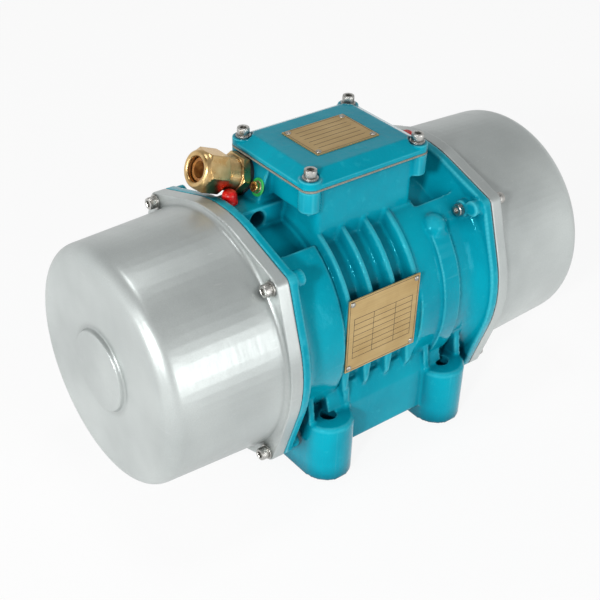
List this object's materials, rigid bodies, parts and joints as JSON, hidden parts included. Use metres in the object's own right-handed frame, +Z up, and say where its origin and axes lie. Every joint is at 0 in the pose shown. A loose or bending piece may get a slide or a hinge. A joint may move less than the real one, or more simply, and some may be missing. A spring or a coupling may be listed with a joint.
{
  "type": "vibration motor",
  "caption": "Foot-mounted vibration motor with a finned cast housing, a terminal box on top and a round cover over the eccentric weights at each end.",
  "frame": {"origin": "centre of the foot bolt pattern on the base plane", "axes": "+Z up, +X along the shaft towards the right-hand cover, +Y towards the back; the gland is on the -X side"},
  "size_m": [0.4244, 0.211, 0.2451],
  "materials": {
    "housing_enamel": "semi-gloss teal enamel on a cast housing",
    "silver_paint": "silver aluminium paint on pressed steel covers",
    "stainless_steel": "plain stainless screws and washers",
    "bearing_steel": "ground steel",
    "cast_iron": "machined grey iron",
    "weight_steel": "flame-cut and machined plate",
    "brass": "turned brass",
    "plate_metal": "satin brass-coloured plate, bare",
    "rivet_metal": "drive rivets",
    "red_plastic": "moulded protection cap",
    "seal_rubber": "moulded seal",
    "gasket_rubber": "cut sheet gasket",
    "board_resin": "moulded terminal board",
    "lamination_steel": "stacked laminations",
    "copper_winding": "varnished copper winding"
  },
  "bodies": {
    "housing": {"bearing_cap_left": "cast_iron", "bearing_cap_right": "cast_iron", "bearing_outer_ring_left": "bearing_steel", "bearing_outer_ring_right": "bearing_steel", "bearing_shield_left": "cast_iron", "bearing_shield_right": "cast_iron", "box_earth_screw": "stainless_steel", "box_earth_washer": "stainless_steel", "cover_screws_left": "stainless_steel", "cover_screws_right": "stainless_steel", "cover_seal_left": "seal_rubber", "cover_seal_right": "seal_rubber", "cover_washers_left": "stainless_steel", "cover_washers_right": "stainless_steel", "flange_earth_screw": "stainless_steel", "gland_body": "brass", "gland_nut": "brass", "gland_seal": "seal_rubber", "gland_washer": "seal_rubber", "grease_cap_left": "red_plastic", "grease_cap_right": "red_plastic", "grease_nipple_left": "bearing_steel", "grease_nipple_right": "bearing_steel", "lid_gasket": "gasket_rubber", "lid_plate": "plate_metal", "lid_plate_rivets": "rivet_metal", "lid_screws": "stainless_steel", "lid_washers": "stainless_steel", "motor_housing": "housing_enamel", "name_plate": "plate_metal", "name_plate_rivets": "rivet_metal", "shield_screws_left": "stainless_steel", "shield_screws_right": "stainless_steel", "stator_core": "lamination_steel", "stator_windings": "copper_winding", "terminal_board": "board_resin", "terminal_box_lid": "housing_enamel", "terminal_studs": "brass", "weight_cover_left": "silver_paint", "weight_cover_right": "silver_paint"},
    "rotor": {"rotor_shaft": "bearing_steel", "rotor_core": "lamination_steel", "weight_keys": "bearing_steel", "retaining_rings": "bearing_steel", "fixed_weight_screws": "stainless_steel", "bearing_inner_ring_left": "bearing_steel", "bearing_inner_ring_right": "bearing_steel", "labyrinth_ring_left": "bearing_steel", "labyrinth_ring_right": "bearing_steel", "fixed_weight_left": "weight_steel", "fixed_weight_right": "weight_steel"},
    "cage_left": {"bearing_cage_left": "brass", "bearing_rollers_left": "bearing_steel"},
    "outer_weight_left": {"adjustable_weight_left": "weight_steel", "adjustable_weight_screw_left": "stainless_steel"},
    "cage_right": {"bearing_cage_right": "brass", "bearing_rollers_right": "bearing_steel"},
    "outer_weight_right": {"adjustable_weight_right": "weight_steel", "adjustable_weight_screw_right": "stainless_steel"}
  },
  "joints": [
    {"name": "rotor_spin", "type": "hinge", "parent": "housing", "child": "rotor", "pos_m": [0, 0, 0.108], "axis": [1, 0, 0], "continuous": true},
    {"name": "cage_left_spin", "type": "hinge", "parent": "housing", "child": "cage_left", "pos_m": [-0.0785, 0, 0.108], "axis": [1, 0, 0], "continuous": true},
    {"name": "cage_right_spin", "type": "hinge", "parent": "housing", "child": "cage_right", "pos_m": [0.0785, 0, 0.108], "axis": [1, 0, 0], "continuous": true},
    {"name": "outer_weight_left_setting", "type": "hinge", "parent": "rotor", "child": "outer_weight_left", "pos_m": [-0.16, 0, 0.108], "axis": [-1, 0, 0], "range_deg": [0, 180]},
    {"name": "outer_weight_right_setting", "type": "hinge", "parent": "rotor", "child": "outer_weight_right", "pos_m": [0.16, 0, 0.108], "axis": [1, 0, 0], "range_deg": [0, 180]}
  ],
  "couplings": [
    {"joint": "cage_left_spin", "follows": "rotor_spin", "ratio": 0.40615},
    {"joint": "cage_right_spin", "follows": "rotor_spin", "ratio": 0.40615}
  ]
}
